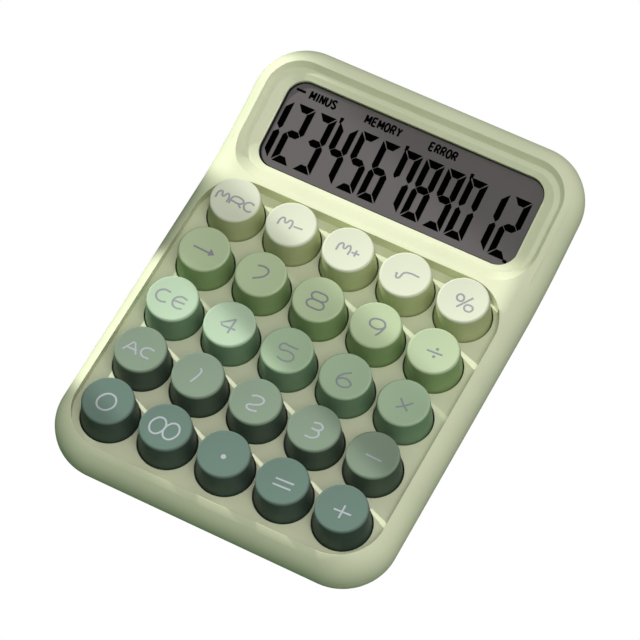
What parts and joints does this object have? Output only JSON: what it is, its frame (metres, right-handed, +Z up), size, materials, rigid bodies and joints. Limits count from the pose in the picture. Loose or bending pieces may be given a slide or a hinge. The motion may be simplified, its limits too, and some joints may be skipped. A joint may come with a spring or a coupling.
{
  "type": "desk calculator",
  "caption": "Desk calculator with round tapered keys on sprung switches in a sunken deck, a raised tilted display half and a sliding battery door.",
  "frame": {"origin": "centre of the footprint, on the surface that the feet stand on", "axes": "+Z up, +Y towards the display and away from the user, +X to the user's right"},
  "size_m": [0.11, 0.1548, 0.0312],
  "materials": {
    "case": "satin moulded ABS",
    "lens": "clear window over a grey display",
    "display": "liquid-crystal glass",
    "dark_plastic": "matt",
    "elastomer": "matt",
    "board": "solder mask",
    "ribbon": "satin",
    "socket": "matt",
    "steel": "plain",
    "switch": "matt",
    "battery": "printed sleeve",
    "contact": "nickel plated",
    "feet": "matt",
    "cap_cream": "satin PBT",
    "cap_sage": "satin PBT",
    "cap_pale": "satin PBT",
    "cap_mint": "satin PBT",
    "cap_olive": "satin PBT",
    "cap_green": "satin PBT",
    "cap_teal": "satin PBT"
  },
  "bodies": {
    "body": {"upper_shell": "case", "lower_shell": "case", "display_lens": "lens", "display_glass": "display", "display_holder": "dark_plastic", "contact_strip": "elastomer", "display_board": "board", "main_board": "board", "ribbon_cable": "ribbon", "ribbon_sockets": "socket", "controller_chip": "dark_plastic", "switch_plate": "steel", "switch_housings": "switch", "battery": "battery", "battery_spring": "contact", "battery_tab": "contact", "case_screws": "steel", "plate_screws": "steel", "rubber_feet": "feet"},
    "battery_door": {"battery_door": "case"},
    "key_mrc": {"key_mrc": "cap_cream"},
    "key_m_minus": {"key_m_minus": "cap_cream"},
    "key_m_plus": {"key_m_plus": "cap_cream"},
    "key_root": {"key_root": "cap_cream"},
    "key_percent": {"key_percent": "cap_cream"},
    "key_arrow": {"key_arrow": "cap_sage"},
    "key_7": {"key_7": "cap_sage"},
    "key_8": {"key_8": "cap_sage"},
    "key_9": {"key_9": "cap_sage"},
    "key_divide": {"key_divide": "cap_pale"},
    "key_ce": {"key_ce": "cap_mint"},
    "key_4": {"key_4": "cap_mint"},
    "key_5": {"key_5": "cap_olive"},
    "key_6": {"key_6": "cap_olive"},
    "key_multiply": {"key_multiply": "cap_olive"},
    "key_ac": {"key_ac": "cap_green"},
    "key_1": {"key_1": "cap_green"},
    "key_2": {"key_2": "cap_green"},
    "key_3": {"key_3": "cap_green"},
    "key_minus": {"key_minus": "cap_green"},
    "key_0": {"key_0": "cap_teal"},
    "key_00": {"key_00": "cap_teal"},
    "key_point": {"key_point": "cap_teal"},
    "key_equals": {"key_equals": "cap_teal"},
    "key_plus": {"key_plus": "cap_teal"}
  },
  "joints": [
    {"name": "key_mrc_press", "type": "slide", "parent": "body", "child": "key_mrc", "axis": [0, 0, -1], "range_m": [0, 0.004], "stiffness_N_per_m": 75, "springref_m": -0.004},
    {"name": "key_m_minus_press", "type": "slide", "parent": "body", "child": "key_m_minus", "axis": [0, 0, -1], "range_m": [0, 0.004], "stiffness_N_per_m": 75, "springref_m": -0.004},
    {"name": "key_m_plus_press", "type": "slide", "parent": "body", "child": "key_m_plus", "axis": [0, 0, -1], "range_m": [0, 0.004], "stiffness_N_per_m": 75, "springref_m": -0.004},
    {"name": "key_root_press", "type": "slide", "parent": "body", "child": "key_root", "axis": [0, 0, -1], "range_m": [0, 0.004], "stiffness_N_per_m": 75, "springref_m": -0.004},
    {"name": "key_percent_press", "type": "slide", "parent": "body", "child": "key_percent", "axis": [0, 0, -1], "range_m": [0, 0.004], "stiffness_N_per_m": 75, "springref_m": -0.004},
    {"name": "key_arrow_press", "type": "slide", "parent": "body", "child": "key_arrow", "axis": [0, 0, -1], "range_m": [0, 0.004], "stiffness_N_per_m": 75, "springref_m": -0.004},
    {"name": "key_7_press", "type": "slide", "parent": "body", "child": "key_7", "axis": [0, 0, -1], "range_m": [0, 0.004], "stiffness_N_per_m": 75, "springref_m": -0.004},
    {"name": "key_8_press", "type": "slide", "parent": "body", "child": "key_8", "axis": [0, 0, -1], "range_m": [0, 0.004], "stiffness_N_per_m": 75, "springref_m": -0.004},
    {"name": "key_9_press", "type": "slide", "parent": "body", "child": "key_9", "axis": [0, 0, -1], "range_m": [0, 0.004], "stiffness_N_per_m": 75, "springref_m": -0.004},
    {"name": "key_divide_press", "type": "slide", "parent": "body", "child": "key_divide", "axis": [0, 0, -1], "range_m": [0, 0.004], "stiffness_N_per_m": 75, "springref_m": -0.004},
    {"name": "key_ce_press", "type": "slide", "parent": "body", "child": "key_ce", "axis": [0, 0, -1], "range_m": [0, 0.004], "stiffness_N_per_m": 75, "springref_m": -0.004},
    {"name": "key_4_press", "type": "slide", "parent": "body", "child": "key_4", "axis": [0, 0, -1], "range_m": [0, 0.004], "stiffness_N_per_m": 75, "springref_m": -0.004},
    {"name": "key_5_press", "type": "slide", "parent": "body", "child": "key_5", "axis": [0, 0, -1], "range_m": [0, 0.004], "stiffness_N_per_m": 75, "springref_m": -0.004},
    {"name": "key_6_press", "type": "slide", "parent": "body", "child": "key_6", "axis": [0, 0, -1], "range_m": [0, 0.004], "stiffness_N_per_m": 75, "springref_m": -0.004},
    {"name": "key_multiply_press", "type": "slide", "parent": "body", "child": "key_multiply", "axis": [0, 0, -1], "range_m": [0, 0.004], "stiffness_N_per_m": 75, "springref_m": -0.004},
    {"name": "key_ac_press", "type": "slide", "parent": "body", "child": "key_ac", "axis": [0, 0, -1], "range_m": [0, 0.004], "stiffness_N_per_m": 75, "springref_m": -0.004},
    {"name": "key_1_press", "type": "slide", "parent": "body", "child": "key_1", "axis": [0, 0, -1], "range_m": [0, 0.004], "stiffness_N_per_m": 75, "springref_m": -0.004},
    {"name": "key_2_press", "type": "slide", "parent": "body", "child": "key_2", "axis": [0, 0, -1], "range_m": [0, 0.004], "stiffness_N_per_m": 75, "springref_m": -0.004},
    {"name": "key_3_press", "type": "slide", "parent": "body", "child": "key_3", "axis": [0, 0, -1], "range_m": [0, 0.004], "stiffness_N_per_m": 75, "springref_m": -0.004},
    {"name": "key_minus_press", "type": "slide", "parent": "body", "child": "key_minus", "axis": [0, 0, -1], "range_m": [0, 0.004], "stiffness_N_per_m": 75, "springref_m": -0.004},
    {"name": "key_0_press", "type": "slide", "parent": "body", "child": "key_0", "axis": [0, 0, -1], "range_m": [0, 0.004], "stiffness_N_per_m": 75, "springref_m": -0.004},
    {"name": "key_00_press", "type": "slide", "parent": "body", "child": "key_00", "axis": [0, 0, -1], "range_m": [0, 0.004], "stiffness_N_per_m": 75, "springref_m": -0.004},
    {"name": "key_point_press", "type": "slide", "parent": "body", "child": "key_point", "axis": [0, 0, -1], "range_m": [0, 0.004], "stiffness_N_per_m": 75, "springref_m": -0.004},
    {"name": "key_equals_press", "type": "slide", "parent": "body", "child": "key_equals", "axis": [0, 0, -1], "range_m": [0, 0.004], "stiffness_N_per_m": 75, "springref_m": -0.004},
    {"name": "key_plus_press", "type": "slide", "parent": "body", "child": "key_plus", "axis": [0, 0, -1], "range_m": [0, 0.004], "stiffness_N_per_m": 75, "springref_m": -0.004},
    {"name": "battery_door_slide", "type": "slide", "parent": "body", "child": "battery_door", "axis": [0, 1, 0], "range_m": [0, 0.017]}
  ]
}
